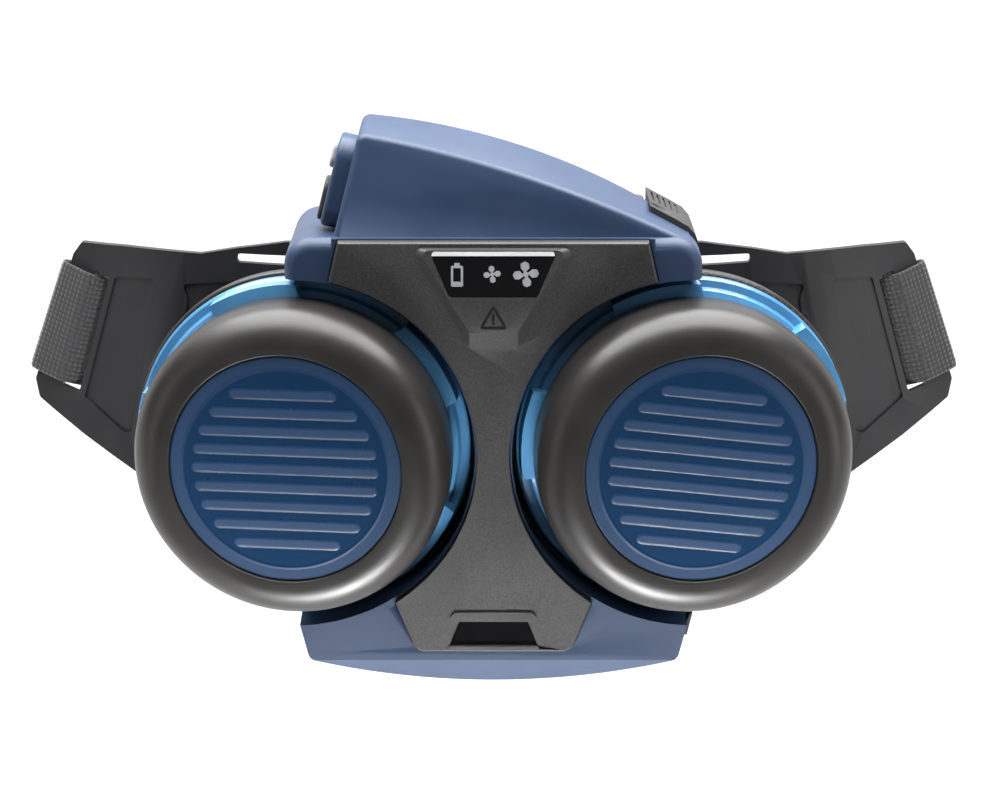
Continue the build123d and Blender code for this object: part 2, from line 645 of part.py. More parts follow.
def hose_outlet():
    body = rod_z(OUTLET_RADIUS, OUTLET_X, OUTLET_Y, OUTLET_LOW, HOUSING_TOP + 2)
    body += rod_z(COLLAR_RADIUS, OUTLET_X, OUTLET_Y, HOUSING_TOP + 1, OUTLET_TOP)
    body -= rod_z(OUTLET_BORE, OUTLET_X, OUTLET_Y, OUTLET_LOW - 1, OUTLET_TOP + 1)
    rim = body.edges().sort_by(Axis.Z)[-2:]
    groove = rod_z(COLLAR_RADIUS + 1, OUTLET_X, OUTLET_Y, SEAL_LOW, SEAL_TOP)
    return chamfer(rim, 0.6) - (groove - rod_z(SEAL_INNER, OUTLET_X, OUTLET_Y, SEAL_LOW - 1, SEAL_TOP + 1))


def outlet_seal():
    """Seal ring pressed flush in the collar's groove."""
    outer = rod_z(COLLAR_RADIUS - 0.05, OUTLET_X, OUTLET_Y, SEAL_LOW + 0.2, SEAL_TOP - 0.2)
    return outer - rod_z(SEAL_INNER, OUTLET_X, OUTLET_Y, SEAL_LOW - 1, SEAL_TOP + 1)


# ---------------------------------------------------------------- battery
CASE_LOW = BAY_LOW + BAY_WALL + 0.4
CASE_TOP = 68.2


def battery_bay():
    tray = block(BAY_LEFT, BAY_RIGHT, BAY_FRONT, BAY_BACK, BAY_LOW, CASE_TOP)
    room = block(BAY_LEFT + BAY_WALL, BAY_RIGHT - BAY_WALL, BAY_FRONT + BAY_WALL, BAY_BACK - BAY_WALL,
                 BAY_LOW + BAY_WALL, 90)
    return tray - room - catch_room()


def battery_case():
    inset = BAY_WALL + GAP
    box_ = block(BAY_LEFT + inset, BAY_RIGHT - inset, BAY_FRONT + inset, BAY_BACK - inset, CASE_LOW, CASE_TOP)
    box_ = chamfer(box_.edges().filter_by(Axis.Z), 1.2)
    room = block(BAY_LEFT + inset + 1.2, BAY_RIGHT - inset - 1.2, BAY_FRONT + inset + 1.2, BAY_BACK - inset - 1.2,
                 CASE_LOW + 2, CASE_TOP + 1)
    return box_ - room - catch_room()


def battery_cap():
    neck = block(BAY_LEFT + 2, CATCH_LEFT - 1, BAY_FRONT + 2, BAY_BACK - 2, CASE_TOP, HOUSING_TOP + 0.3)
    head = block(BAY_LEFT - 2, CATCH_LEFT - 0.6, HUMP_REAR_Y + 0.5, BACK_Y - 1, HOUSING_TOP + 0.3, HOUSING_TOP + 4.8)
    head = fillet(head.edges().filter_by(Axis.Z), 2.5)
    head = fillet(head.edges().group_by(Axis.Z)[-1], 1.2)
    grip = [block(x, x + 1.2, HUMP_REAR_Y, BACK_Y, HOUSING_TOP + 4.2, HOUSING_TOP + 6) for x in range(10, 46, 4)]
    for cut in grip:
        head -= cut & block(0, 60, HUMP_REAR_Y + 5, BACK_Y - 6, 70, 80)
    lid = block(CATCH_LEFT - 2, BAY_RIGHT - BAY_WALL - GAP, BAY_FRONT + 2, BAY_BACK - 2, CASE_TOP, CASE_TOP + 0.4)
    return neck + head + (lid - catch_room())


def battery_cells():
    middle_y = (BAY_FRONT + BAY_BACK) / 2
    left = (BAY_LEFT + BAY_RIGHT - CELL_LENGTH) / 2
    group = []
    for row in range(3):
        z = CASE_LOW + 2.2 + CELL_RADIUS + row * (2 * CELL_RADIUS + 0.1)
        cell = Pos(left + CELL_LENGTH / 2, middle_y, z) * Rot(0, 90, 0) * Cylinder(CELL_RADIUS, CELL_LENGTH)
        group.append(cell.solids()[0])
    return Compound(children=group)


def battery_contacts():
    group = [block(x, x + 4, -26, -22, CASE_LOW - 0.4, CASE_LOW).solids()[0] for x in (20, 30, 40)]
    return Compound(children=group)


def battery_catch():
    body = plate(catch_outline(), CATCH_BACK, CATCH_FRONT)
    dish = Pos(64.5, -43.2, 84.0) * Rot(0, 24, 0) * scale(Sphere(10), (0.72, 0.56, 0.9))
    body = body - dish
    for step in range(5):
        x = 58.6 + 2.2 * step
        body -= block(x, x + 0.8, -34, -17, 78.0 - 1.05 * step, 90)
    return body


def catch_spring():
    tube = Pos(62.5, -24, 69.6) * Rot(0, 90, 0) * (Cylinder(1.0, 6) - Cylinder(0.6, 8))
    return tube


# ---------------------------------------------------------------- filters and lids
def filter_seat():
    body = ring(NECK_RADIUS + 12, SEAT_RADIUS, POCKET_FLOOR, POCKET_FLOOR + SEAT_THICK)
    rim = body.edges().group_by(Axis.Z)[-1].sort_by(SortBy.RADIUS)[-1]
    return fillet(rim, 1.2)


def filter_gasket():
    return ring(NECK_RADIUS + 1.2, NECK_RADIUS + 10.5, POCKET_FLOOR + 0.05, FILTER_BACK - 0.03)


def filter_body(side):
    flange_top = FILTER_BACK + FLANGE_THICK
    can_top = -5.0
    profile = [(NECK_RADIUS - 3, FILTER_BACK - NECK_LENGTH), (NECK_RADIUS, FILTER_BACK - NECK_LENGTH),
               (NECK_RADIUS, FILTER_BACK), (FLANGE_RADIUS - 0.8, FILTER_BACK), (FLANGE_RADIUS, FILTER_BACK + 0.8),
               (FLANGE_RADIUS, flange_top - 0.8), (FLANGE_RADIUS - 0.8, flange_top),
               (FLANGE_RADIUS - 3.4, flange_top), (FLANGE_RADIUS - 4.2, flange_top + 2.2), (CAN_RADIUS, flange_top + 3),
               (CAN_RADIUS, can_top), (CAN_RADIUS - CAN_WALL, can_top), (CAN_RADIUS - CAN_WALL, FILTER_BACK + 2),
               (NECK_RADIUS - 3, FILTER_BACK + 2)]
    body = turned(profile)
    pad = ring(CAN_RADIUS - 0.5, FLANGE_RADIUS - 0.8, flange_top - 0.5, -RING_SKIRT - 1.2)
    pad &= Pos(CAN_RADIUS, 0, flange_top) * Box(30, GRIP_WIDTH, 40)
    for index in range(GRIP_COUNT):
        body += Rot(0, 0, 360 / GRIP_COUNT * index + GRIP_TURN[side]) * pad
    return body


def filter_media():
    return disc(CAN_RADIUS - CAN_WALL - GAP, FILTER_BACK + 2, -9.0)


def prefilter():
    return disc(CAN_RADIUS - CAN_WALL - GAP, -8.9, -6.0)


def lid_ring():
    crown = RING_RADIUS - RING_TOP
    top_in = DISC_RADIUS + 0.25
    disc_low = RING_TOP - DISC_RECESS - DISC_THICK
    arc_out = ThreePointArc((RING_RADIUS, 0, 0), (crown + RING_TOP * cos(pi / 4), 0, RING_TOP * sin(pi / 4)),
                            (crown, 0, RING_TOP))
    inner = RING_TOP - RING_WALL
    arc_in = ThreePointArc((crown, 0, inner), (crown + inner * cos(pi / 4), 0, inner * sin(pi / 4)),
                           (crown + inner, 0, 0))
    skirt_in = CAN_RADIUS + 0.2
    top = Polyline((crown, 0, RING_TOP), (top_in + 0.6, 0, RING_TOP), (top_in, 0, RING_TOP - 0.6),
                   (top_in, 0, disc_low), (top_in - 3, 0, disc_low), (top_in - 3, 0, disc_low - 1.6),
                   (crown, 0, disc_low - 1.6), (crown, 0, inner))
    low = Polyline((crown + inner, 0, 0), (skirt_in, 0, -3), (skirt_in, 0, -RING_SKIRT + 0.6),
                   (skirt_in + 0.6, 0, -RING_SKIRT), (RING_RADIUS - 0.5, 0, -RING_SKIRT), (RING_RADIUS, 0, 0))
    return revolve(make_face([arc_out, *top.edges(), arc_in, *low.edges()]), Axis.Z)


def lid_disc():
    top = RING_TOP - DISC_RECESS
    body = disc(DISC_RADIUS, top - DISC_THICK, top)
    rim = body.edges().sort_by(Axis.Z)[-1]
    return chamfer(rim, 0.5)


# ---------------------------------------------------------------- belt frame and belt
def belt_point(s, y):
    """A point at distance s along the belt's elevation curve, and the belt's width direction there."""
    side, run = (1 if s >= 0 else -1), abs(s)
    angle = max(run - BELT_FLAT, 0) / BELT_RISE_RADIUS
    x = min(run, BELT_FLAT) + BELT_RISE_RADIUS * sin(angle)
    return Vector(side * x, y, BELT_RISE_RADIUS * (1 - cos(angle))), Vector(-side * sin(angle), 0, cos(angle))


def bend(s):
    """How far the wing has curved back at distance s."""
    reach = max(abs(s) - WING_START, 0)
    return WING_BEND - sqrt(WING_BEND ** 2 - reach ** 2)


def strip(path, thickness, low, high, ruled=True):
    """A flat strip of even thickness that follows (s, y) points, between two heights across its width."""
    stations = []
    for index, (s, y) in enumerate(path):
        before, after = path[max(index - 1, 0)], path[min(index + 1, len(path) - 1)]
        ds, dy = after[0] - before[0], after[1] - before[1]
        size = hypot(ds, dy)
        normal = (-dy / size * thickness / 2, ds / size * thickness / 2)
        across = belt_point(s, y)[1]
        front, back = (belt_point(s + k * normal[0], y + k * normal[1])[0] for k in (-1, 1))
        corners = [front + across * low, front + across * high, back + across * high, back + across * low]
        stations.append(Wire.make_polygon(corners, close=True))
    return Solid.make_loft(stations, ruled=ruled)


FRAME_MIDDLE_Y = BACK_Y + FRAME_THICK / 2
WING_END = 197.0


def wing_stations(sign, step=12.0):
    count = ceil((WING_END - WING_START) / step)
    runs = [WING_START + (WING_END - WING_START) * i / count for i in range(count + 1)]
    return [(sign * s, FRAME_MIDDLE_Y + bend(s)) for s in [0, WING_START * 0.5, *runs]]


def wing_slab(sign, offset_y=0.0, thickness=FRAME_THICK):
    stations = [(s, y + offset_y) for s, y in wing_stations(sign)]
    if sign < 0:
        stations = stations[::-1]
    return strip(stations, thickness, -100, 75)


def side_prism(points, sign, radius=0.0):
    sketch = outline([(sign * x, z) for x, z in points], radius)
    return plate(sketch, 80, -60)


def radial_slot(s_in, s_out, half):
    """Elevation corners of a slot across the belt, on the right-hand wing."""
    corners = []
    for s, w in ((s_in, -half), (s_in, half), (s_out, half), (s_out, -half)):
        point, across = belt_point(s, 0)
        corners.append((point.X + across.X * w, point.Z + across.Z * w))
    return corners


def belt_frame():
    bar = radial_slot(BAR_END, BAR_END, BELT_WIDTH / 2 + 4)
    top = [(-5, FRAME_TOP - 0.9), (79, FRAME_TOP), (98, 55), (112, 52.2), (141, 52.6), (bar[1][0] - 3.6, 52.2)]
    low = [(bar[0][0] - 1.6, bar[0][1] - 7), (160.5, -22.6), (100, -60.5), (70, -74), (-5, -74)]
    edge = [*top, bar[1], bar[0], *low]
    body = None
    for sign in (-1, 1):
        half = wing_slab(sign) & side_prism(edge, sign, 2.0)
        body = half if body is None else body + half
    for sign in (-1, 1):
        body -= side_prism(radial_slot(SLOT_IN, SLOT_OUT, BELT_WIDTH / 2 + 1.6), sign, 1.0)
        body -= side_prism(radial_slot(120.5, 124.6, 19.5), sign, 1.0)
        body -= side_prism([(66, 48.4), (66, 52.4), (97.6, 53.0), (97.6, 49.6)], sign, 1.2)
        skin = wing_slab(sign, -FRAME_THICK / 2, 1.6)
        rim = radial_slot(SLOT_IN - 2.4, SLOT_IN - 2.4, 25)
        outer_panel = [rim[0], rim[1], (131.6, 41.4), (130, 38.6), (141.4, -19.6), (144, -20.6)]
        inner_panel = [(94.4, 42.6), (119.6, 40), (117.5, 34), (127, -22), (94.4, -40)]
        body -= skin & side_prism(outer_panel, sign, 1.6)
        body -= skin & side_prism(inner_panel, sign, 2.0)
    for z0, z1 in ((30, 52), (-72, -30)):
        rail = block(-60, 60, BACK_Y + FRAME_THICK - 0.2, 0, z0, z1)
        rail = chamfer(rail.faces().sort_by(Axis.Y)[-1].edges(), 1.5)
        body += rail
    for x, z in FRAME_SCREWS:
        body -= rod_y(SCREW_RADIUS, x, z, BACK_Y - 1, 1)
        body -= rod_y(SCREW_HEAD + 0.4, x, z, BACK_Y + 1.5, 1)
    for x, z in SCREWS:
        body -= rod_y(4.2, x, z, BACK_Y - 1, BACK_Y + 1.2)
    return body


def frame_screws():
    group = []
    for x, z in FRAME_SCREWS:
        screw = rod_y(SCREW_RADIUS, x, z, BACK_Y - WALL + 0.1, BACK_Y + 2)
        screw += rod_y(SCREW_HEAD, x, z, BACK_Y + 1.5, BACK_Y + 3.6)
        group.append((screw - Pos(x, BACK_Y + 3.4, z) * Box(1.6, 1.6, 1.6)).solids()[0])
    return Compound(children=group)


RETURN_RUN = [(120.0, RETURN_Y - 3.5), (80.0, RETURN_Y - 1.2)]   # (s, y) of the return run beside the buckle


def belt_path(sign):
    """Belt centreline from the middle of the back, through the outer slot, round the bar and back."""
    clear = FRAME_THICK / 2 + BELT_THICK / 2 + 0.35

    def beside(s, away):
        slope = asin(max(s - WING_START, 0) / WING_BEND)
        return s - away * sin(slope), FRAME_MIDDLE_Y + bend(s) + away * cos(slope)

    behind = [WING_START * 0.5, *range(int(WING_START), int(SLOT_IN) - 2, 10), SLOT_IN + 1.1]
    inner = [beside(s, clear) for s in behind]
    front = [beside(SLOT_OUT - 0.6, -clear), beside((SLOT_OUT + BAR_END) / 2, -clear), beside(BAR_END, -clear)]
    end_s, end_y = beside(BAR_END, 0)
    slope = asin((BAR_END - WING_START) / WING_BEND)
    wrap = []
    for step in range(1, 6):
        angle = slope - pi / 2 + pi * step / 6
        wrap.append((end_s + clear * cos(angle), end_y + clear * sin(angle)))
    leave = (BAR_END - 9, end_y + clear + 0.4)
    back = [leave, *RETURN_RUN, (BUCKLE_HALF + 12, RETURN_Y), (BUCKLE_HALF - 5, RETURN_Y)]
    return [(sign * s, y) for s, y in inner + front + wrap + back]


def waist_belt():
    half = BELT_WIDTH / 2
    left, right = belt_path(-1), belt_path(1)
    return strip(left[::-1] + right, BELT_THICK, -half, half)


# ---------------------------------------------------------------- buckle
BUCKLE_Y = RETURN_Y
BUCKLE_HIGH = 26.0
BUCKLE_THICK = 4.6            # half of the buckle's thickness
ARM_PIVOT_X = -6.0
ARM_Z = 12.0
ARM_ROOT = 2.0                # round root of an arm, on its pin
ARM_PIN = 1.0
ARM_HALF_Y = 2.3


def buckle_block(x0, x1, half_y, z0, z1):
    return block(x0, x1, BUCKLE_Y - half_y, BUCKLE_Y + half_y, z0, z1)


def buckle_socket():
    body = buckle_block(-2, BUCKLE_HALF, BUCKLE_THICK, -BUCKLE_HIGH, BUCKLE_HIGH)
    body = fillet(body.edges().filter_by(Axis.Y), 3.0)
    body -= buckle_block(-3, 18.5, 2.8, -18, 18)
    for sign in (-1, 1):
        low, high = sorted((sign * 11.5, sign * 30))
        body -= buckle_block(3, 15.5, 6, low, high)
    body -= buckle_block(22.5, BUCKLE_HALF + 1, BELT_THICK / 2 + GAP, -BELT_WIDTH / 2 - 0.6, BELT_WIDTH / 2 + 0.6)
    return body


def buckle_plug():
    body = buckle_block(-BUCKLE_HALF, -2.4, BUCKLE_THICK, -BUCKLE_HIGH, BUCKLE_HIGH)
    body = fillet(body.edges().filter_by(Axis.Y), 3.0)
    for z in (-ARM_Z, ARM_Z):
        body -= buckle_block(ARM_PIVOT_X - ARM_ROOT - GAP, 0, ARM_HALF_Y + GAP, z - 4, z + 4)
        body += rod_y(ARM_PIN, ARM_PIVOT_X, z, BUCKLE_Y - BUCKLE_THICK + 0.5, BUCKLE_Y + BUCKLE_THICK - 0.5)
    body += buckle_block(-3, 14, ARM_HALF_Y, -4, 4)
    body -= buckle_block(-BUCKLE_HALF - 1, -22.5, BELT_THICK / 2 + GAP, -BELT_WIDTH / 2 - 0.6, BELT_WIDTH / 2 + 0.6)
    return body


def buckle_arm(sign):
    shape = [(ARM_PIVOT_X, 10), (6, 10), (14.6, 11.4), (15.0, 14), (12.5, 21.5), (8, 24), (5.2, 24), (4.2, 14.6),
             (ARM_PIVOT_X, 14)]
    front, back = BUCKLE_Y - ARM_HALF_Y, BUCKLE_Y + ARM_HALF_Y
    body = plate(outline([(x, sign * z) for x, z in shape], 0.5), back, front)
    body += rod_y(ARM_ROOT, ARM_PIVOT_X, sign * ARM_Z, front, back)
    return body - rod_y(ARM_PIN + 0.05, ARM_PIVOT_X, sign * ARM_Z, front - 1, back + 1)


SLIDER_S = -96.0               # where the adjuster sits along the belt


def belt_slider():
    """Ladder adjuster on the left of the belt's return run, set along the belt."""
    (far, far_y), (near, near_y) = RETURN_RUN
    share = (far + SLIDER_S) / (far - near)
    point, across = belt_point(SLIDER_S, far_y + (near_y - far_y) * share)
    angle = degrees(atan2(across.X, across.Z))
    half = BELT_WIDTH / 2
    body = Box(17, 7.0, BELT_WIDTH + 9)
    body = fillet(body.edges().filter_by(Axis.Y), 2.5)
    body -= Box(20, BELT_THICK + 1.0, 2 * half + 1.6)
    for x in (-3.4, 3.4):
        body -= Pos(x, 0, 0) * Box(2.4, 9, 2 * half + 1.6)
    plan = degrees(atan2(near_y - far_y, far - near))
    return Pos(point.X, point.Y, point.Z) * Rot(0, angle, 0) * Rot(0, 0, plan) * body


def side_plate():
    """Small label plate on the slanting part of the right side wall, set out along that wall."""
    turn = atan2(FOOT_SIDE_Z - FOOT_Z, (HOUSING_WIDTH - FOOT_WIDTH) / 2)
    points = []
    for along, out in ((1.43, -1.96), (0.63, -1.04), (9.36, 0.3), (9.64, -0.94)):
        points.append((HOUSING_WIDTH / 2 - along * cos(turn) + out * sin(turn),
                       FOOT_SIDE_Z - along * sin(turn) - out * cos(turn)))
    sketch = make_face(Polyline(*points, close=True))
    return plate(sketch, -54, -66) - plate(core_outline(), -50, -70)


# ---------------------------------------------------------------- build
def main():
    os.makedirs("parts", exist_ok=True)
    front, rear = front_shell(), rear_shell()
    for name, shape in {
        "front_housing": front_housing(front), "rear_housing": rear_housing(rear), "housing_screws": housing_screws(),
        "housing_seal": seal_line(SPLIT_Y, SPLIT_Y - 0.8), "side_plate": side_plate(),
        "centre_cover": centre_cover(), "display_window": display_window(), "display_bar": display_bar(),
        "display_symbols": display_symbols(), "warning_symbol": warning_symbol(),
        "name_window": name_window(),
        "button_pod": button_pod(), "switch_board": switch_board(),
        "upper_button": button("upper_button"), "lower_button": button("lower_button"),
        "circuit_board": circuit_board(), "indicator_leds": indicator_leds(), "alarm_buzzer": alarm_buzzer(),
        "scroll_cover": scroll_cover(), "motor_bearings": motor_bearings(), "motor_shaft": motor_shaft(),
        "motor_screws": motor_screws(), "impeller": impeller(),
        "hose_outlet": hose_outlet(), "outlet_seal": outlet_seal(),
        "battery_bay": battery_bay(), "battery_case": battery_case(), "battery_cap": battery_cap(),
        "battery_cells": battery_cells(), "battery_contacts": battery_contacts(),
        "battery_catch": battery_catch(), "catch_spring": catch_spring(),
        "belt_frame": belt_frame(), "frame_screws": frame_screws(), "waist_belt": waist_belt(),
        "buckle_socket": buckle_socket(), "buckle_plug": buckle_plug(),
        "buckle_arm_upper": buckle_arm(1), "buckle_arm_lower": buckle_arm(-1), "belt_slider": belt_slider(),
    }.items():
        save(name, shape)
    scroll, motor = fan_scroll(), motor_body()
    for hole in screw_holes():
        scroll -= hole
        motor -= hole
    save("fan_scroll", scroll)
    save("motor_body", motor)
    for side, word in ((-1, "left"), (1, "right")):
        place = lid_plane(side)
        save(word + "_filter_well", filter_well(front, side))
        save(word + "_ear_shell", ear_shell(rear, side))
        save(word + "_filter_seat", place * filter_seat())
        save(word + "_filter_gasket", place * filter_gasket())
        save(word + "_filter_body", place * filter_body(side))
        save(word + "_filter_media", place * filter_media())
        save(word + "_prefilter", place * prefilter())
        save(word + "_lid_ring", place * lid_ring())
        save(word + "_lid_disc", place * lid_disc())


main()
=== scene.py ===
"""Looks of the powered air respirator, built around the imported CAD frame. Metres."""

import json
from math import asin, atan2, cos, exp, floor, hypot, pi, radians, sin, sqrt

import bmesh
import bpy
from mathutils import Matrix, Vector


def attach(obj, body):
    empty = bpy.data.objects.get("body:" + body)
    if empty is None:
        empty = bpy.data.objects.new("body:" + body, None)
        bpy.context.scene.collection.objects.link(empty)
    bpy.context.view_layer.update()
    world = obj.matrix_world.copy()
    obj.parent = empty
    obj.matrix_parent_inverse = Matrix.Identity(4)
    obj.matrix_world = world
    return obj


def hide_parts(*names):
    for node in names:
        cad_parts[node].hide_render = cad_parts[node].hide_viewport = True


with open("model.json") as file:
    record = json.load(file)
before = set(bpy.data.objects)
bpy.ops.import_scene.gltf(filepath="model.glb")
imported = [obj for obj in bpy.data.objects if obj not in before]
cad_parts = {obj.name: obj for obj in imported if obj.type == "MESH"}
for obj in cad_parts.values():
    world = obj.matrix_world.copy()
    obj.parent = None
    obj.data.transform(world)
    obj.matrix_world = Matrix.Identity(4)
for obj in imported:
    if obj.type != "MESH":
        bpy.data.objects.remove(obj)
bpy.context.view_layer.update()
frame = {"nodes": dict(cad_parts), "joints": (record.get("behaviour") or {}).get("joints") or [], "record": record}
NODES = frame["nodes"]
JOINTS = {joint["name"]: joint for joint in frame["joints"]}
MM = 0.001
SIDES = (("left", -1), ("right", 1))

# ---------------------------------------------------------------- camera, lights and stage
CAMERA_TARGET = Vector((0.0024, -0.075, 0.014))
CAMERA_DISTANCE = 1.0
CAMERA_ELEVATION = radians(15)
CAMERA_LENS = 100


def aim(obj, target):
    obj.rotation_euler = (Vector(target) - obj.location).to_track_quat("-Z", "Y").to_euler()


def add_camera():
    camera = bpy.data.objects.new("camera", bpy.data.cameras.new("camera"))
    camera.data.lens = CAMERA_LENS
    camera.data.sensor_width = 36
    camera.data.clip_start = 0.01
    away = Vector((0, -cos(CAMERA_ELEVATION), sin(CAMERA_ELEVATION)))
    camera.location = CAMERA_TARGET + CAMERA_DISTANCE * away
    aim(camera, CAMERA_TARGET)
    bpy.context.collection.objects.link(camera)
    bpy.context.scene.camera = camera


def add_light(name, place, target, width, height, power, spread=180):
    """A rectangular light: sizes in metres, power in watts, spread in degrees."""
    data = bpy.data.lights.new(name, "AREA")
    data.shape = "RECTANGLE"
    data.spread = radians(spread)
    data.size, data.size_y = width, height
    data.energy = power
    light = bpy.data.objects.new(name, data)
    light.location = place
    aim(light, target)
    bpy.context.collection.objects.link(light)


def add_stage():
    """A glowing white sweep: a floor below and behind the object that curves up into a backdrop."""
    start_y, floor_z, wall_y = -0.2, -0.34, 1.5
    bend_radius, bend_steps = 0.6, 16
    reach, rise = 4.0, 3.2
    line = [(start_y, floor_z), (wall_y - bend_radius, floor_z)]
    for step in range(1, bend_steps + 1):
        angle = pi / 2 * step / bend_steps
        bend_y = wall_y - bend_radius + bend_radius * sin(angle)
        line.append((bend_y, floor_z + bend_radius * (1 - cos(angle))))
    line.append((wall_y, rise))
    mesh = bmesh.new()
    rows = [[mesh.verts.new((x, y, z)) for y, z in line] for x in (-reach, reach)]
    for index in range(len(line) - 1):
        mesh.faces.new((rows[0][index], rows[1][index], rows[1][index + 1], rows[0][index + 1]))
    sweep = finished_object("floor_sweep", mesh)
    material = bpy.data.materials.new("pale_floor")
    material.use_nodes = True
    shader = material.node_tree.nodes["Principled BSDF"]
    shader.inputs["Base Color"].default_value = (0.2, 0.2, 0.2, 1)
    shader.inputs["Roughness"].default_value = 1.0
    shader.inputs["Emission Color"].default_value = (1, 1, 1, 1)
    shader.inputs["Emission Strength"].default_value = 1.0
    sweep.data.materials.append(material)


def add_studio():
    """A dim surrounding, a large softbox overhead, weak side strips and a narrow light on the foot."""
    world = bpy.data.worlds.new("studio")
    world.use_nodes = True
    world.node_tree.nodes["Background"].inputs["Color"].default_value = (0.95, 0.97, 1, 1)
    world.node_tree.nodes["Background"].inputs["Strength"].default_value = 0.06
    bpy.context.scene.world = world
    bpy.context.scene.view_settings.view_transform = "Standard"
    middle = (0, -0.05, 0.0)
    foot = (0, -0.06, -0.088)
    add_light("top_softbox", (0.0, -0.04, 0.62), middle, 1.2, 0.8, 30)
    add_light("left_fill", (-0.95, -0.55, -0.1), middle, 0.4, 0.9, 1.0)
    add_light("right_fill", (0.95, -0.55, -0.1), middle, 0.4, 0.9, 2.4)
    add_light("low_fill", (0.0, -0.24, -0.33), foot, 0.5, 0.12, 0.6, 35)


# ---------------------------------------------------------------- mesh helpers
def finished_object(name, mesh, normals=True):
    """The built mesh as a smooth-shaded object in the scene."""
    if normals:
        bmesh.ops.recalc_face_normals(mesh, faces=mesh.faces)
    data = bpy.data.meshes.new(name)
    mesh.to_mesh(data)
    mesh.free()
    data.shade_smooth()
    obj = bpy.data.objects.new(name, data)
    bpy.context.collection.objects.link(obj)
    return obj


def body_of_node(node):
    """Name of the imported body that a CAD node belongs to."""
    return next(name for name, nodes in frame["record"]["behaviour"]["bodies"].items() if node in nodes)


def slot_of_node(node):
    """Name of the material slot that the record gives a CAD node."""
    return next(part["material_slot"] for part in frame["record"]["subparts"] if part["node"] == node)


def stand_for(obj, node, material):
    """The piece takes the place of a CAD node, on the node's own body and slot."""
    obj.data.materials.clear()
    obj.data.materials.append(material)
    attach(obj, body_of_node(node))
    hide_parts(node)


def apply_modifiers(obj):
    """The modifiers' result becomes the object's own mesh."""
    graph = bpy.context.evaluated_depsgraph_get()
    data = bpy.data.meshes.new_from_object(obj.evaluated_get(graph))
    obj.modifiers.clear()
    obj.data = data


def filter_matrix(word):
    """Frame of a filter's axis: +Z out of the front, +Y up, from the joint that turns the filter."""
    joint = JOINTS[word + "_filter_turn"]
    out = Vector(joint["axis"]).normalized()
    right = Vector((0, 0, 1)).cross(out).normalized()
    up = out.cross(right)
    turn = Matrix((right, up, out)).transposed().to_4x4()
    return Matrix.Translation(Vector(joint["pos_m"])) @ turn


def from_node(node):
    """A CAD node's mesh, with doubled points and flat edges merged."""
    mesh = bmesh.new()
    mesh.from_mesh(NODES[node].data)
    bmesh.ops.remove_doubles(mesh, verts=mesh.verts, dist=2e-6)
    bmesh.ops.dissolve_limit(mesh, angle_limit=radians(0.6), verts=mesh.verts, edges=mesh.edges)
    return mesh


def on_well_seam(edge):
    """Edges where a filter well meets the shell around it: one moulding, so no groove there."""
    for word, _ in SIDES:
        inverse = WELL_INVERSE[word]
        if all(abs((inverse @ vert.co).to_2d().length - WELL_RADIUS) < 0.06 * MM for vert in edge.verts):
            return True
    return False


def softened(node, width, segments=3, sharp=radians(30), keep=None):
    """A copy of a CAD node with its sharp edges rounded over, drawn in the node's place."""
    mesh = from_node(node)
    layers = mesh.edges.layers.float
    weights = layers.get("bevel_weight_edge") or layers.new("bevel_weight_edge")
    for edge in mesh.edges:
        hard = edge.is_manifold and edge.calc_face_angle(0) > sharp
        edge[weights] = 1.0 if hard and not (keep and keep(edge)) else 0.0
    obj = finished_object(node + "_soft", mesh, normals=False)
    obj.data.set_sharp_from_angle(angle=sharp)
    bevel = obj.modifiers.new("edges", "BEVEL")
    bevel.width = width
    bevel.segments = segments
    bevel.limit_method = "WEIGHT"
    bevel.harden_normals = True
    bevel.use_clamp_overlap = True
    apply_modifiers(obj)
    stand_for(obj, node, MATERIALS[slot_of_node(node)])


def lathe(name, profile, matrix, steps):
    """A closed (radius, height) profile turned about a filter's axis."""
    mesh = bmesh.new()
    rings = []
    for index in range(steps):
        angle = 2 * pi * index / steps
        points = [Vector((r * cos(angle), r * sin(angle), h)) for r, h in profile]
        rings.append([mesh.verts.new(matrix @ point) for point in points])
    count = len(profile)
    for index in range(steps):
        near, far = rings[index], rings[(index + 1) % steps]
        for k in range(count):
            mesh.faces.new((near[k], near[(k + 1) % count], far[(k + 1) % count], far[k]))
    return finished_object(name, mesh)


def arc(cx, cy, radius, start, end, steps):
    """Points on an arc in degrees, as (x, y)."""
    angles = [radians(start + (end - start) * i / steps) for i in range(steps + 1)]
    return [(cx + radius * cos(a), cy + radius * sin(a)) for a in angles]


def smooth_step(low, high, value):
    """0 below low, 1 above high, and an S-curve between."""
    share = min(max((value - low) / (high - low), 0), 1)
    return share * share * (3 - 2 * share)


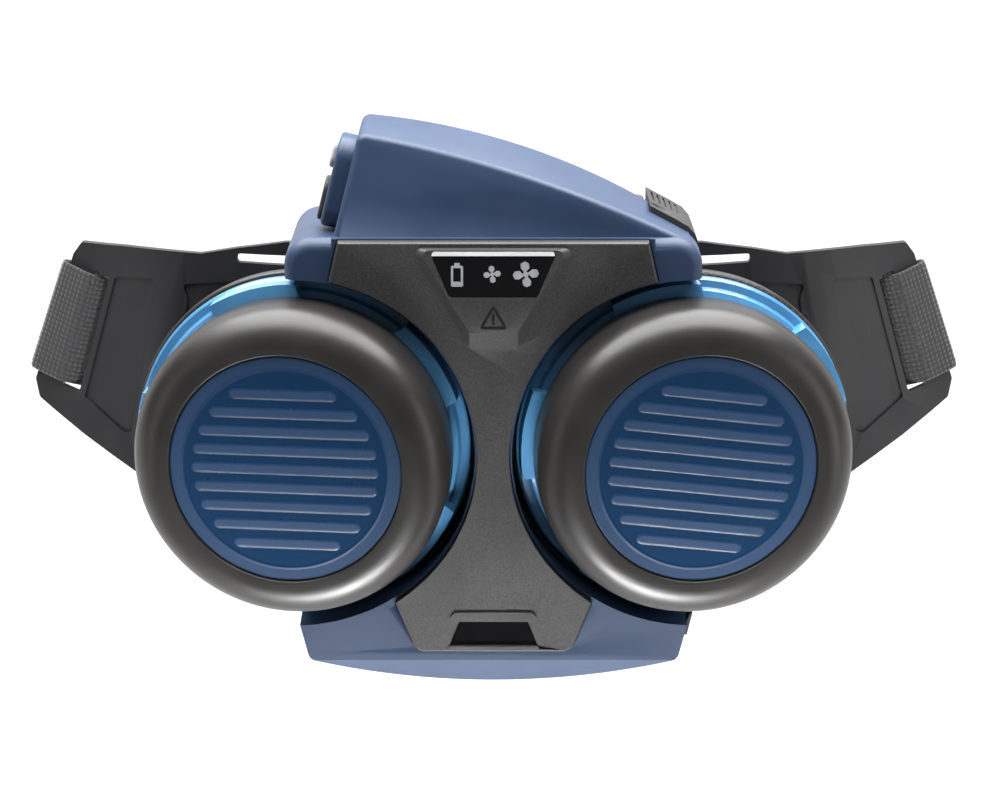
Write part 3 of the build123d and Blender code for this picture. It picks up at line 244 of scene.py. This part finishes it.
# ---------------------------------------------------------------- materials
class Shader:
    """A small builder for procedural materials."""

    def __init__(self, name, colour, roughness):
        self.material = bpy.data.materials.new(name)
        self.material.use_nodes = True
        self.tree = self.material.node_tree
        self.out = self.tree.nodes["Principled BSDF"]
        self.colour = (*colour, 1)
        self.out.inputs["Base Color"].default_value = self.colour
        self.out.inputs["Roughness"].default_value = roughness
        self.roughness = roughness
        self.place = self.node("ShaderNodeTexCoord").outputs["Object"]
        self.bumps = None

    def node(self, kind, **settings):
        made = self.tree.nodes.new(kind)
        for key, value in settings.items():
            setattr(made, key, value)
        return made

    def link(self, source, target):
        self.tree.links.new(source, target)

    def set(self, **values):
        for key, value in values.items():
            self.out.inputs[key.replace("_", " ")].default_value = value
        return self

    def noise(self, scale, detail=3.0, rough=0.5):
        noise = self.node("ShaderNodeTexNoise")
        noise.inputs["Scale"].default_value = scale
        noise.inputs["Detail"].default_value = detail
        noise.inputs["Roughness"].default_value = rough
        self.link(self.place, noise.inputs["Vector"])
        return noise.outputs["Fac"]

    def remap(self, value, low, high, new_low, new_high):
        remap = self.node("ShaderNodeMapRange")
        for key, number in zip(("From Min", "From Max", "To Min", "To Max"), (low, high, new_low, new_high)):
            remap.inputs[key].default_value = number
        self.link(value, remap.inputs["Value"])
        return remap.outputs["Result"]

    def blend(self, fac, first, second):
        mix = self.node("ShaderNodeMix", data_type="RGBA")
        self.link(fac, mix.inputs["Factor"])
        for socket, colour in ((mix.inputs["A"], first), (mix.inputs["B"], second)):
            if isinstance(colour, tuple):
                socket.default_value = colour
            else:
                self.link(colour, socket)
        return mix.outputs["Result"]

    def bump(self, height, strength, distance):
        bump = self.node("ShaderNodeBump")
        bump.inputs["Strength"].default_value = strength
        bump.inputs["Distance"].default_value = distance
        self.link(height, bump.inputs["Height"])
        if self.bumps:
            self.link(self.bumps, bump.inputs["Normal"])
        self.bumps = bump.outputs["Normal"]
        self.link(self.bumps, self.out.inputs["Normal"])
        return self

    def tint(self, scale, amount, detail=4.0):
        """Slight uneven colour, as moulded plastic has."""
        share = self.remap(self.noise(scale, detail), 0.35, 0.65, 0, 1)
        dark = tuple(c * (1 - amount) for c in self.colour[:3]) + (1,)
        light = tuple(min(c * (1 + amount), 1) for c in self.colour[:3]) + (1,)
        self.link(self.blend(share, dark, light), self.out.inputs["Base Color"])
        return self

    def patchy(self, scale, spread):
        """Roughness that wanders, as handled surfaces have."""
        low, high = self.roughness - spread, self.roughness + spread
        rough = self.remap(self.noise(scale, 4.0), 0.35, 0.65, low, high)
        self.link(rough, self.out.inputs["Roughness"])
        return self


def moulded(name, colour, roughness, grain=0.3, grain_scale=2600, tint=0.05, coat=0.0):
    """Moulded plastic: fine spark-eroded grain, faint colour drift and uneven sheen."""
    shader = Shader(name, colour, roughness)
    shader.tint(55, tint).patchy(38, 0.04)
    shader.bump(shader.noise(grain_scale, 2.0, 0.6), grain, 0.00006)
    shader.set(Coat_Weight=coat, Coat_Roughness=0.25)
    return shader.material


def sparkle_plastic(name, colour, roughness):
    """Coarser grain with light and dark specks."""
    shader = Shader(name, colour, roughness)
    speck = shader.noise(2100, 2.0, 0.65)
    share = shader.remap(speck, 0.38, 0.66, 0, 1)
    dark = tuple(c * 0.66 for c in colour) + (1,)
    light = tuple(c * 1.55 for c in colour) + (1,)
    shader.link(shader.blend(share, dark, light), shader.out.inputs["Base Color"])
    shader.patchy(60, 0.05)
    shader.bump(speck, 0.55, 0.0001)
    return shader.material


def plain_metal(name, colour, roughness):
    shader = Shader(name, colour, roughness)
    shader.set(Metallic=1.0)
    shader.tint(200, 0.06).patchy(400, 0.06)
    shader.bump(shader.noise(3000, 2.0), 0.1, 0.00003)
    return shader.material


def glossy(name, colour, roughness):
    shader = Shader(name, colour, roughness)
    shader.tint(80, 0.15).patchy(30, roughness * 0.4)
    shader.set(Coat_Weight=0.6, Coat_Roughness=0.04)
    return shader.material


def soft_rubber(name, colour):
    shader = Shader(name, colour, 0.62)
    shader.tint(120, 0.1).patchy(90, 0.05)
    shader.bump(shader.noise(1800, 3.0, 0.6), 0.25, 0.00008)
    shader.set(Sheen_Weight=0.15, Sheen_Roughness=0.5)
    return shader.material


def woven(name, colour, pitch):
    """Basket weave from the strip's own (length, width) map; its colour is darker in the gaps between threads as
    painted shade and lighter on the thread crowns as painted highlight.
    """
    shader = Shader(name, colour, 0.72)
    uv = shader.node("ShaderNodeUVMap", uv_map="strip")
    parts = shader.node("ShaderNodeSeparateXYZ")
    shader.link(uv.outputs["UV"], parts.inputs["Vector"])

    def wave(source, shift):
        turned = shader.node("ShaderNodeMath", operation="MULTIPLY_ADD")
        turned.inputs[1].default_value = pi / pitch
        turned.inputs[2].default_value = shift
        shader.link(source, turned.inputs[0])
        sine = shader.node("ShaderNodeMath", operation="SINE")
        shader.link(turned.outputs[0], sine.inputs[0])
        return sine.outputs[0]

    along, across = wave(parts.outputs["X"], 0), wave(parts.outputs["Y"], 0)
    checks = shader.node("ShaderNodeMath", operation="MULTIPLY")
    shader.link(along, checks.inputs[0])
    shader.link(across, checks.inputs[1])
    height = shader.node("ShaderNodeMath", operation="ABSOLUTE")
    shader.link(checks.outputs[0], height.inputs[0])
    # painted shade in the gaps between threads and painted highlight on the thread crowns: the colour follows the
    # weave height
    share = shader.remap(height.outputs[0], 0.05, 0.8, 0, 1)
    dark = tuple(c * 0.3 for c in colour) + (1,)
    light = tuple(c * 1.9 for c in colour) + (1,)
    shader.link(shader.blend(share, dark, light), shader.out.inputs["Base Color"])
    shader.bump(height.outputs[0], 0.9, 0.0004)
    fibre = shader.noise(4200, 2.0)
    shader.bump(fibre, 0.4, 0.0001)
    shader.set(Sheen_Weight=0.4, Sheen_Roughness=0.4)
    return shader.material


def relief_plastic(name, colour):
    """Disc plastic: polished ground with matt raised relief, from the mesh's own mask."""
    shader = Shader(name, colour, 0.3)
    mask = shader.node("ShaderNodeAttribute", attribute_name="relief").outputs["Fac"]
    shader.link(shader.remap(mask, 0, 1, 0.27, 0.55), shader.out.inputs["Roughness"])
    grain = shader.noise(2400, 2.0, 0.6)
    lift = shader.node("ShaderNodeMath", operation="MULTIPLY")
    shader.link(grain, lift.inputs[0])
    shader.link(mask, lift.inputs[1])
    ground = tuple(c * 0.86 for c in colour) + (1,)
    raised = tuple(c * 1.12 for c in colour) + (1,)
    shader.link(shader.blend(mask, ground, raised), shader.out.inputs["Base Color"])
    shader.bump(lift.outputs[0], 0.5, 0.0001)
    shader.bump(shader.noise(900, 2.0), 0.06, 0.0001)
    return shader.material


HOUSING_BLUE = (0.021, 0.041, 0.088)
FILTER_BLUE = (0.07, 0.24, 0.46)
DISC_BLUE = (0.005, 0.032, 0.09)
COVER_GREY = (0.034, 0.033, 0.033)
LID_BLACK = (0.021, 0.0195, 0.0185)
FRAME_BLACK = (0.009, 0.009, 0.01)
WEAVE_PITCH = 1.9 * MM

MATERIALS = {
    "housing_blue": moulded("housing_blue", HOUSING_BLUE, 0.46, grain=0.5, grain_scale=2300),
    "filter_blue": moulded("filter_blue", FILTER_BLUE, 0.24, grain=0.05, coat=1.0),
    "disc_blue": relief_plastic("disc_blue", DISC_BLUE),
    "cover_grey": sparkle_plastic("cover_grey", COVER_GREY, 0.45),
    "lid_black": moulded("lid_black", LID_BLACK, 0.37, grain=0.45, grain_scale=1500, tint=0.12),
    "frame_black": moulded("frame_black", FRAME_BLACK, 0.42, grain=0.15, tint=0.1),
    "catch_grey": moulded("catch_grey", (0.02, 0.019, 0.019), 0.6, grain=0.2),
    "display_gloss": glossy("display_gloss", (0.004, 0.004, 0.0045), 0.08),
    "bar_silver": moulded("bar_silver", (0.72, 0.72, 0.72), 0.3, grain=0.05),
    "symbol_grey": moulded("symbol_grey", (0.3, 0.31, 0.32), 0.5),
    "symbol_dark": moulded("symbol_dark", (0.008, 0.008, 0.008), 0.4),
    "button_grey": soft_rubber("button_grey", (0.42, 0.43, 0.44)),
    "button_black": soft_rubber("button_black", (0.018, 0.018, 0.019)),
    "webbing_black": woven("webbing_black", (0.008, 0.008, 0.009), WEAVE_PITCH),
    "buckle_black": moulded("buckle_black", (0.018, 0.018, 0.019), 0.4),
    "steel": plain_metal("steel", (0.56, 0.56, 0.58), 0.32),
    "seal_rubber": soft_rubber("seal_rubber", (0.02, 0.02, 0.02)),
    "inner_grey": moulded("inner_grey", (0.05, 0.05, 0.053), 0.45),
    "fan_white": moulded("fan_white", (0.6, 0.6, 0.58), 0.4),
    "board_green": glossy("board_green", (0.01, 0.1, 0.035), 0.3),
    "led_lens": glossy("led_lens", (0.5, 0.62, 0.5), 0.2),
    "cell_wrap": glossy("cell_wrap", (0.03, 0.16, 0.23), 0.3),
    "contact_brass": plain_metal("contact_brass", (0.78, 0.6, 0.28), 0.25),
    "filter_paper": soft_rubber("filter_paper", (0.72, 0.71, 0.66)),
    "prefilter_felt": soft_rubber("prefilter_felt", (0.78, 0.78, 0.77)),
}


def dress_cad_nodes():
    slots = {part["node"]: part["material_slot"] for part in frame["record"]["subparts"]}
    for name, obj in NODES.items():
        for slot in obj.material_slots:
            slot.material = MATERIALS[slots[name]]


# ---------------------------------------------------------------- lids
RING_RADIUS, RING_TOP, RING_SKIRT = 57.8 * MM, 12.3 * MM, 15.0 * MM
DISC_RADIUS, DISC_TOP, DISC_THICK = 42.3 * MM, 11.7 * MM, 2.4 * MM
SKIRT_INNER = 54.35 * MM
WELL_RADIUS = 67.8 * MM
WELL_INVERSE = {word: filter_matrix(word).inverted() for word, _ in SIDES}


def lid_ring(word):
    crown = RING_RADIUS - RING_TOP
    hole = DISC_RADIUS + 0.25 * MM
    lip = 0.5 * MM
    profile = arc(crown, 0, RING_TOP, 0, 90, 28)
    profile += [(crown - 1.1 * MM, RING_TOP)] + arc(hole + lip, RING_TOP - lip, lip, 90, 180, 5)
    low = DISC_TOP - DISC_THICK
    profile += [(hole, low), (hole - 3 * MM, low), (hole - 3 * MM, low - 1.6 * MM), (crown, low - 1.6 * MM)]
    inner = RING_TOP - 2.2 * MM
    profile += arc(crown, 0, inner, 86, 4, 16)
    bevel = 0.6 * MM
    profile += [(SKIRT_INNER, -3 * MM), (SKIRT_INNER, bevel - RING_SKIRT)]
    profile.append((SKIRT_INNER + bevel, -RING_SKIRT))
    rim = 0.8 * MM
    profile += arc(RING_RADIUS - 0.5 * MM - rim, -RING_SKIRT + rim, rim, -90, 0, 5)
    profile += [(RING_RADIUS - 0.18 * MM, -RING_SKIRT * 0.5), (RING_RADIUS - 0.03 * MM, -RING_SKIRT * 0.2)]
    ring = lathe(word + "_lid_ring_shell", profile, filter_matrix(word), steps=256)
    stand_for(ring, word + "_lid_ring", MATERIALS["lid_black"])


RIB_PITCH, RIB_HALF, RIB_RISE = 7.0 * MM, 1.75 * MM, 0.24 * MM
BEAD_RADIUS, BEAD_WIDTH, BEAD_RISE = 37.3 * MM, 0.34 * MM, 0.2 * MM


def relief(x, y):
    """Height and mask of the disc's plain relief: a fine bead ring and rows of straight rounded ribs."""
    r = hypot(x, y)
    bead = exp(-((r - BEAD_RADIUS) / BEAD_WIDTH) ** 2)
    row = min(max(floor(y / RIB_PITCH + 0.5), -4), 4)
    middle = row * RIB_PITCH
    reach = sqrt(max((BEAD_RADIUS - 3.4 * MM) ** 2 - middle ** 2, 0)) - RIB_HALF
    distance = hypot(max(abs(x) - reach, 0), y - middle) - RIB_HALF
    rib = 1 - smooth_step(-0.3 * MM, 0.25 * MM, distance)
    outer = smooth_step(BEAD_RADIUS - 0.1 * MM, BEAD_RADIUS + 0.3 * MM, r)
    return rib * RIB_RISE + bead * BEAD_RISE - 0.12 * MM, max(rib, outer * 0.75)


def lid_disc(word, turn):
    matrix = filter_matrix(word) @ Matrix.Rotation(turn, 4, "Z")
    mesh = bmesh.new()
    mask = mesh.verts.layers.float.new("relief")
    radial, around = 116, 400
    edge = DISC_RADIUS - 0.5 * MM
    rows = []
    for i in range(1, radial + 1):
        r = edge * i / radial
        row = []
        for j in range(around):
            x, y = r * cos(2 * pi * j / around), r * sin(2 * pi * j / around)
            height, share = relief(x, y)
            vert = mesh.verts.new(matrix @ Vector((x, y, DISC_TOP - 0.2 * MM + height)))
            vert[mask] = share
            row.append(vert)
        rows.append(row)
    low = DISC_TOP - DISC_THICK
    for r, h in ((DISC_RADIUS - 0.14 * MM, DISC_TOP - 0.46 * MM), (DISC_RADIUS, DISC_TOP - 0.8 * MM),
                 (DISC_RADIUS, low), (DISC_RADIUS * 0.5, low)):
        row = []
        for j in range(around):
            angle = 2 * pi * j / around
            vert = mesh.verts.new(matrix @ Vector((r * cos(angle), r * sin(angle), h)))
            vert[mask] = 0.7
            row.append(vert)
        rows.append(row)
    for near, far in zip(rows, rows[1:]):
        for j in range(around):
            k = (j + 1) % around
            mesh.faces.new((near[j], far[j], far[k], near[k]))
    for row, height in ((rows[0], DISC_TOP), (rows[-1], low)):
        centre = mesh.verts.new(matrix @ Vector((0, 0, height)))
        for j in range(around):
            mesh.faces.new((centre, row[j], row[(j + 1) % around]))
    disc = finished_object(word + "_lid_disc_relief", mesh)
    stand_for(disc, word + "_lid_disc", MATERIALS["disc_blue"])


# ---------------------------------------------------------------- webbing
FRAME_MIDDLE_Y, FRAME_HALF = -6.35 * MM, 1.65 * MM
BELT_FLAT, BELT_RISE_RADIUS = 36 * MM, 430 * MM
WING_START, WING_BEND = 70 * MM, 200 * MM
SLOT_OUT, BAR_END = 164.5 * MM, 175 * MM
BELT_HALF_WIDTH, BELT_HALF_THICK = 22.5 * MM, 0.9 * MM
RETURN_Y = 34 * MM


def belt_point(s, y):
    """A point at distance s along the belt's elevation curve, and the belt's width direction there."""
    side = 1 if s >= 0 else -1
    angle = max(abs(s) - BELT_FLAT, 0) / BELT_RISE_RADIUS
    x = min(abs(s), BELT_FLAT) + BELT_RISE_RADIUS * sin(angle)
    place = Vector((side * x, y, BELT_RISE_RADIUS * (1 - cos(angle))))
    return place, Vector((-side * sin(angle), 0, cos(angle)))


def beside(s, away):
    """A point on the wing at distance s, moved off its middle plane."""
    reach = max(s - WING_START, 0)
    slope = asin(reach / WING_BEND)
    bend = WING_BEND - sqrt(WING_BEND ** 2 - reach ** 2)
    return s - away * sin(slope), FRAME_MIDDLE_Y + bend + away * cos(slope)


def belt_path():
    """(s, y) of half the belt: along the back of the wing, out through the slot, round the bar and back."""
    clear = FRAME_HALF + BELT_HALF_THICK + 0.35 * MM
    path = [beside(s * MM, clear) for s in (0, 35, *range(70, 155, 10), 158.6)]
    path += [beside(s, -clear) for s in (SLOT_OUT - 0.6 * MM, (SLOT_OUT + BAR_END) / 2, BAR_END)]
    end_s, end_y = beside(BAR_END, 0)
    slope = asin((BAR_END - WING_START) / WING_BEND)
    for step in range(1, 6):
        angle = slope - pi / 2 + pi * step / 6
        path.append((end_s + clear * cos(angle), end_y + clear * sin(angle)))
    path += [(BAR_END - 9 * MM, end_y + clear + 0.4 * MM), (120 * MM, RETURN_Y - 3.5 * MM)]
    path += [(80 * MM, RETURN_Y - 1.2 * MM), (44 * MM, RETURN_Y), (27 * MM, RETURN_Y)]
    return path


def resampled(path, step):
    """The path cut into even steps, its corners eased."""
    points = []
    for (s0, y0), (s1, y1) in zip(path, path[1:]):
        count = max(int(hypot(s1 - s0, y1 - y0) / step), 1)
        points += [(s0 + (s1 - s0) * i / count, y0 + (y1 - y0) * i / count) for i in range(count)]
    points.append(path[-1])
    for _ in range(3):
        inner = []
        for a, b, c in zip(points, points[1:], points[2:]):
            inner.append(tuple((a[k] + 2 * b[k] + c[k]) / 4 for k in (0, 1)))
        points = [points[0], *inner, points[-1]]
    return points


def webbing():
    """Woven strap: real thickness, rolled edges, raised threads, and a map of its own length and width."""
    half = resampled(belt_path(), 0.7 * MM)
    stations = [(-s, y) for s, y in reversed(half[1:])] + half
    across_steps = 64
    section = [(-1 + 2 * i / across_steps, 1) for i in range(across_steps + 1)]
    section += [(1 - 2 * i / across_steps, -1) for i in range(across_steps + 1)]
    mesh = bmesh.new()
    uv = mesh.loops.layers.uv.new("strip")
    rows, run = [], 0.0
    for index, (s, y) in enumerate(stations):
        before, after = stations[max(index - 1, 0)], stations[min(index + 1, len(stations) - 1)]
        ds, dy = after[0] - before[0], after[1] - before[1]
        size = hypot(ds, dy)
        run += size / 2
        row = []
        for share, face in section:
            edge = 1 - abs(share) ** 24
            ridge = abs(sin(pi * run / WEAVE_PITCH) * sin(pi * share * BELT_HALF_WIDTH / WEAVE_PITCH))
            off = face * (BELT_HALF_THICK * (0.45 + 0.5 * edge) - 0.14 * MM * (1 - ridge))
            place, width = belt_point(s - dy / size * off, y + ds / size * off)
            across = share * BELT_HALF_WIDTH
            row.append((mesh.verts.new(place + width * across), run, across))
        rows.append(row)
    count = len(section)
    for near, far in zip(rows, rows[1:]):
        for k in range(count):
            ring = (near[k], near[(k + 1) % count], far[(k + 1) % count], far[k])
            face = mesh.faces.new([corner[0] for corner in ring])
            for loop, corner in zip(face.loops, ring):
                loop[uv].uv = (corner[1], corner[2])
    for row in (rows[0], rows[-1]):
        mesh.faces.new([corner[0] for corner in row])
    strap = finished_object("webbing_strap", mesh)
    stand_for(strap, "waist_belt", MATERIALS["webbing_black"])


# ---------------------------------------------------------------- build
SOFT_EDGES = {                # width of each CAD piece's softened edges, in millimetres
    "rear_housing": 0.6,
    "left_ear_shell": 0.5,
    "right_ear_shell": 0.5,
    "centre_cover": 0.45,
    "button_pod": 0.3,
    "battery_cap": 0.4,
    "battery_catch": 0.5,
    "belt_frame": 0.35,
    "buckle_socket": 0.5,
    "buckle_plug": 0.5,
    "buckle_arm_upper": 0.4,
    "buckle_arm_lower": 0.4,
    "belt_slider": 0.5,
    "hose_outlet": 0.3,
    "battery_case": 0.3,
    "left_filter_body": 0.3,
    "right_filter_body": 0.3,
    "left_filter_seat": 0.3,
    "right_filter_seat": 0.3,
}
FRONT_EDGE = 0.4 * MM         # the front moulding's own, left off where its nodes meet
DISC_TURN = {"left": 0, "right": -8}    # degrees that each disc's ribs are turned by


def build():
    add_camera()
    add_stage()
    add_studio()
    dress_cad_nodes()
    for word, _ in SIDES:
        lid_ring(word)
        lid_disc(word, radians(DISC_TURN[word]))
    for node, width in SOFT_EDGES.items():
        softened(node, width * MM)
    for node in ("front_housing", "left_filter_well", "right_filter_well"):
        softened(node, FRONT_EDGE, keep=on_well_seam)
    webbing()


build()
